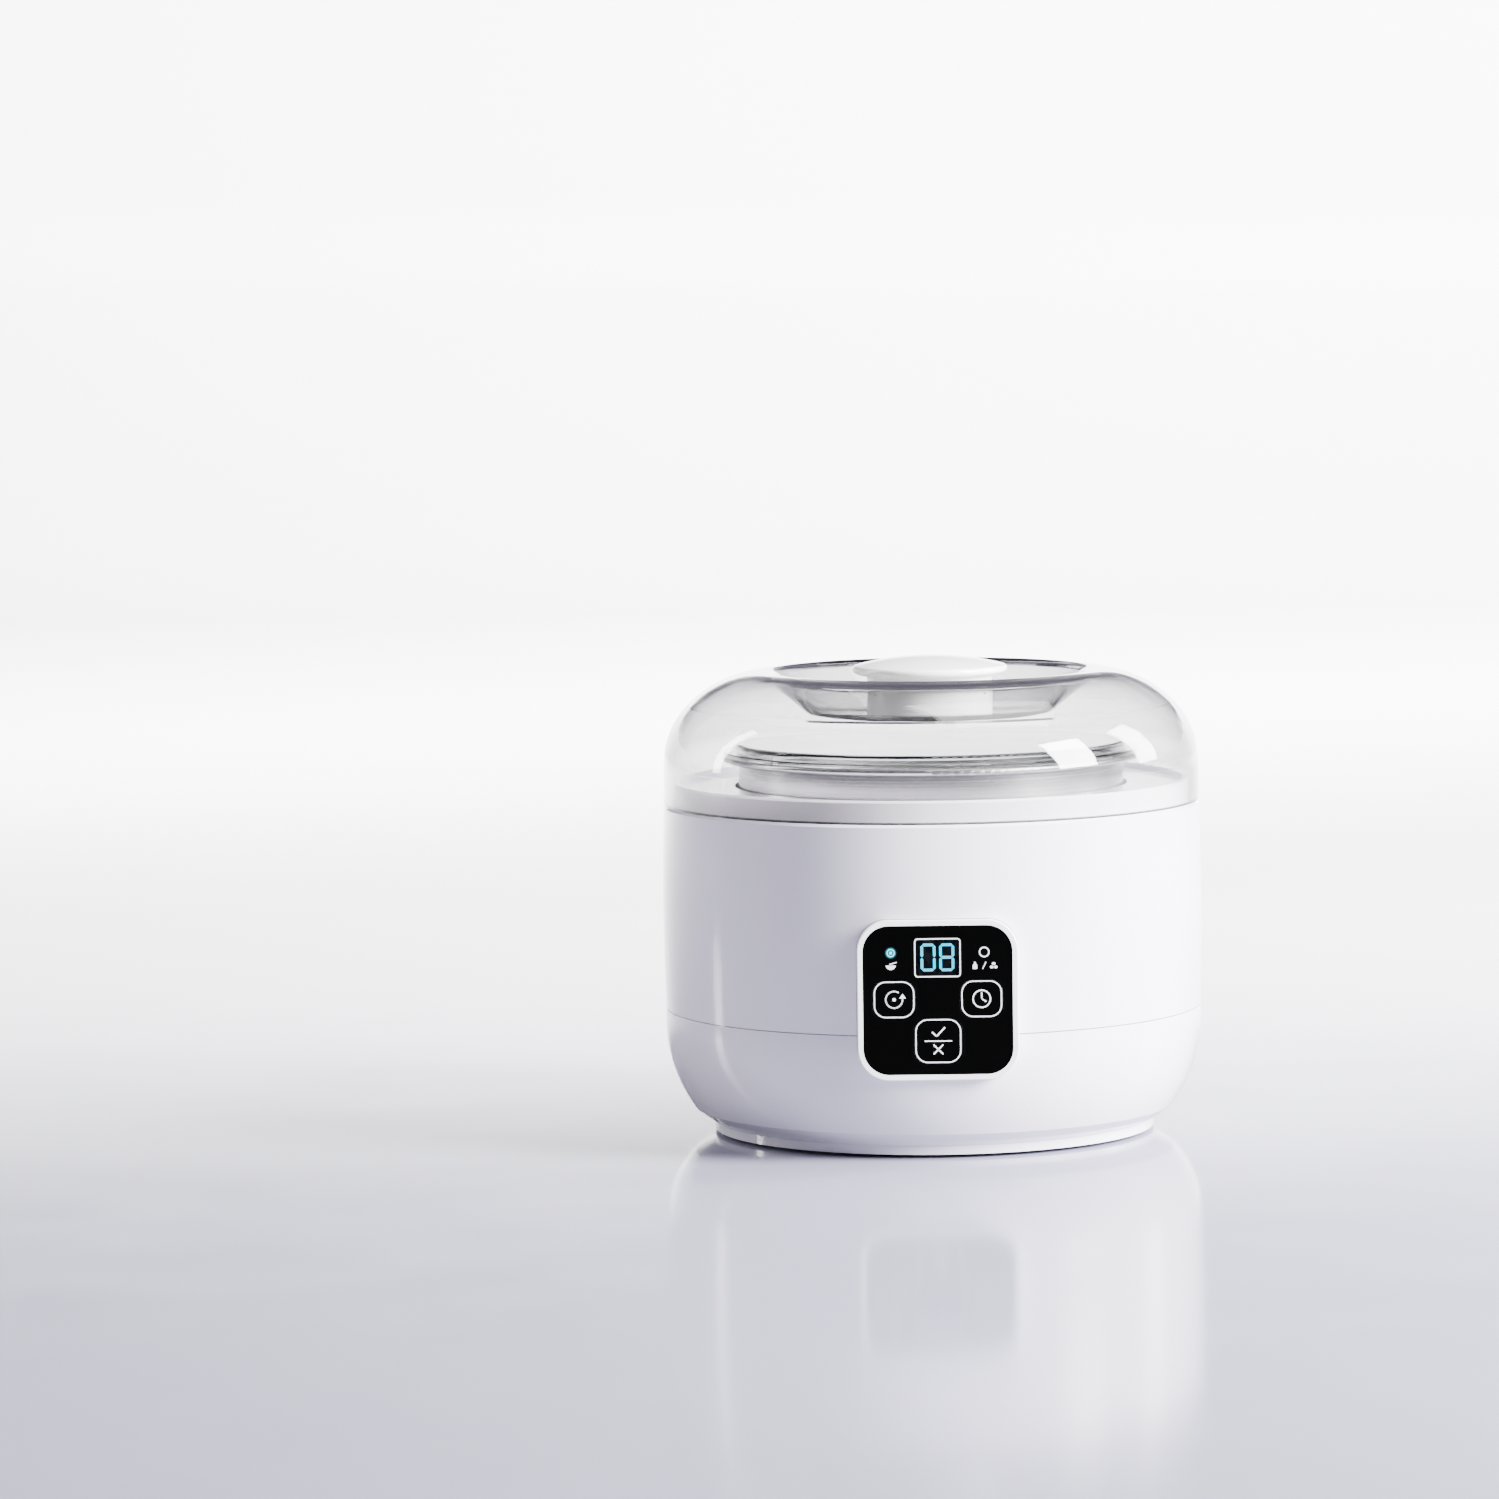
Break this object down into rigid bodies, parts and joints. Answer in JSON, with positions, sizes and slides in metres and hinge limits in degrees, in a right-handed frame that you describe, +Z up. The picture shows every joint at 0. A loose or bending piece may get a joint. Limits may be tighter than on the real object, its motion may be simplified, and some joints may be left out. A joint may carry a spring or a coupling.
{
  "type": "yogurt maker",
  "caption": "Round electric yogurt maker: white bowl-shaped housing with a front key panel and display, steel inner pot with a clear lid, and a clear domed cover with a knob.",
  "frame": {"origin": "on the floor under the centre of the body", "axes": "+Z up, control panel facing -Y, mains inlet facing +Y"},
  "size_m": [0.1914, 0.1944, 0.1689],
  "materials": {
    "white_shell": "high gloss white ABS",
    "white_bezel": "gloss white ABS",
    "white_knob": "gloss white",
    "inner_plastic": "moulded, matt",
    "foot_rubber": "matt",
    "screw_steel": "zinc plated",
    "steel_parts": "plain",
    "well_aluminium": "spun, satin",
    "heater_film": "amber polyimide film",
    "sensor_brass": "plain",
    "pot_steel": "fine turned stainless steel",
    "clear_lid": "clear moulded plastic",
    "clear_dome": "clear moulded plastic",
    "silicone": "translucent white",
    "black_overlay": "black gloss",
    "smoked_lens": "smoked clear",
    "black_plastic": "matt",
    "digit_light": "lit",
    "light_on": "lit",
    "light_off": "clear over black",
    "led_body": "clear epoxy",
    "green_board": "solder mask",
    "cream_plastic": "moulded",
    "core_iron": "laminated steel",
    "coil_tape": "yellow winding tape",
    "relay_blue": "moulded",
    "capacitor_sleeve": "sleeved can",
    "fuse_glass": "glass tube",
    "terminal_green": "moulded",
    "pin_brass": "nickel plated",
    "lead_blue": "PVC insulation",
    "lead_red": "silicone insulation",
    "lead_grey": "PVC insulation"
  },
  "bodies": {
    "housing": {"base_plate": "white_shell", "base_screws": "screw_steel", "control_board": "green_board", "control_board_screws": "screw_steel", "control_connector": "cream_plastic", "control_leads": "lead_grey", "control_socket": "cream_plastic", "controller_chip": "black_plastic", "display_digits": "digit_light", "display_lens": "smoked_lens", "display_module": "black_plastic", "filter_capacitor": "capacitor_sleeve", "frame_screws": "screw_steel", "frame_spacers": "inner_plastic", "heater_band": "heater_film", "heater_leads": "lead_red", "heater_terminal": "terminal_green", "heating_well": "well_aluminium", "indicator_leds": "led_body", "inlet_pins": "pin_brass", "inlet_socket": "black_plastic", "inner_frame": "inner_plastic", "left_light_pipe": "light_on", "lower_housing": "white_shell", "mains_fuse": "fuse_glass", "mains_leads": "lead_blue", "mains_terminal": "terminal_green", "panel_frame": "white_bezel", "panel_overlay": "black_overlay", "power_board": "green_board", "power_board_screws": "screw_steel", "relay": "relay_blue", "right_light_pipe": "light_off", "rubber_feet": "foot_rubber", "tact_switches": "black_plastic", "temperature_sensor": "sensor_brass", "thermal_fuse": "steel_parts", "top_deck": "white_shell", "transformer_coil": "coil_tape", "transformer_core": "core_iron", "upper_housing": "white_shell"},
    "pot": {"inner_pot": "pot_steel"},
    "inner_cover": {"inner_lid": "clear_lid", "inner_lid_seal": "silicone"},
    "dome": {"outer_lid": "clear_dome", "knob": "white_knob", "knob_neck": "white_knob", "knob_washer": "silicone", "knob_screw": "screw_steel"},
    "function_button": {"function_key": "black_overlay", "function_switch_stem": "black_plastic"},
    "time_button": {"time_key": "black_overlay", "time_switch_stem": "black_plastic"},
    "confirm_button": {"confirm_key": "black_overlay", "confirm_switch_stem": "black_plastic"}
  },
  "joints": [
    {"name": "pot_lift", "type": "slide", "parent": "housing", "child": "pot", "axis": [0, 0, 1], "range_m": [0, 0.09]},
    {"name": "inner_lid_lift", "type": "slide", "parent": "pot", "child": "inner_cover", "axis": [0, 0, 1], "range_m": [0, 0.04]},
    {"name": "outer_lid_lift", "type": "slide", "parent": "inner_cover", "child": "dome", "axis": [0, 0, 1], "range_m": [0, 0.06]},
    {"name": "function_key_press", "type": "slide", "parent": "housing", "child": "function_button", "axis": [0, 1, 0], "range_m": [0, 0.0004], "stiffness_N_per_m": 2000, "springref_m": -0.0003},
    {"name": "time_key_press", "type": "slide", "parent": "housing", "child": "time_button", "axis": [0, 1, 0], "range_m": [0, 0.0004], "stiffness_N_per_m": 2000, "springref_m": -0.0003},
    {"name": "confirm_key_press", "type": "slide", "parent": "housing", "child": "confirm_button", "axis": [0, 1, 0], "range_m": [0, 0.0004], "stiffness_N_per_m": 2000, "springref_m": -0.0003}
  ]
}
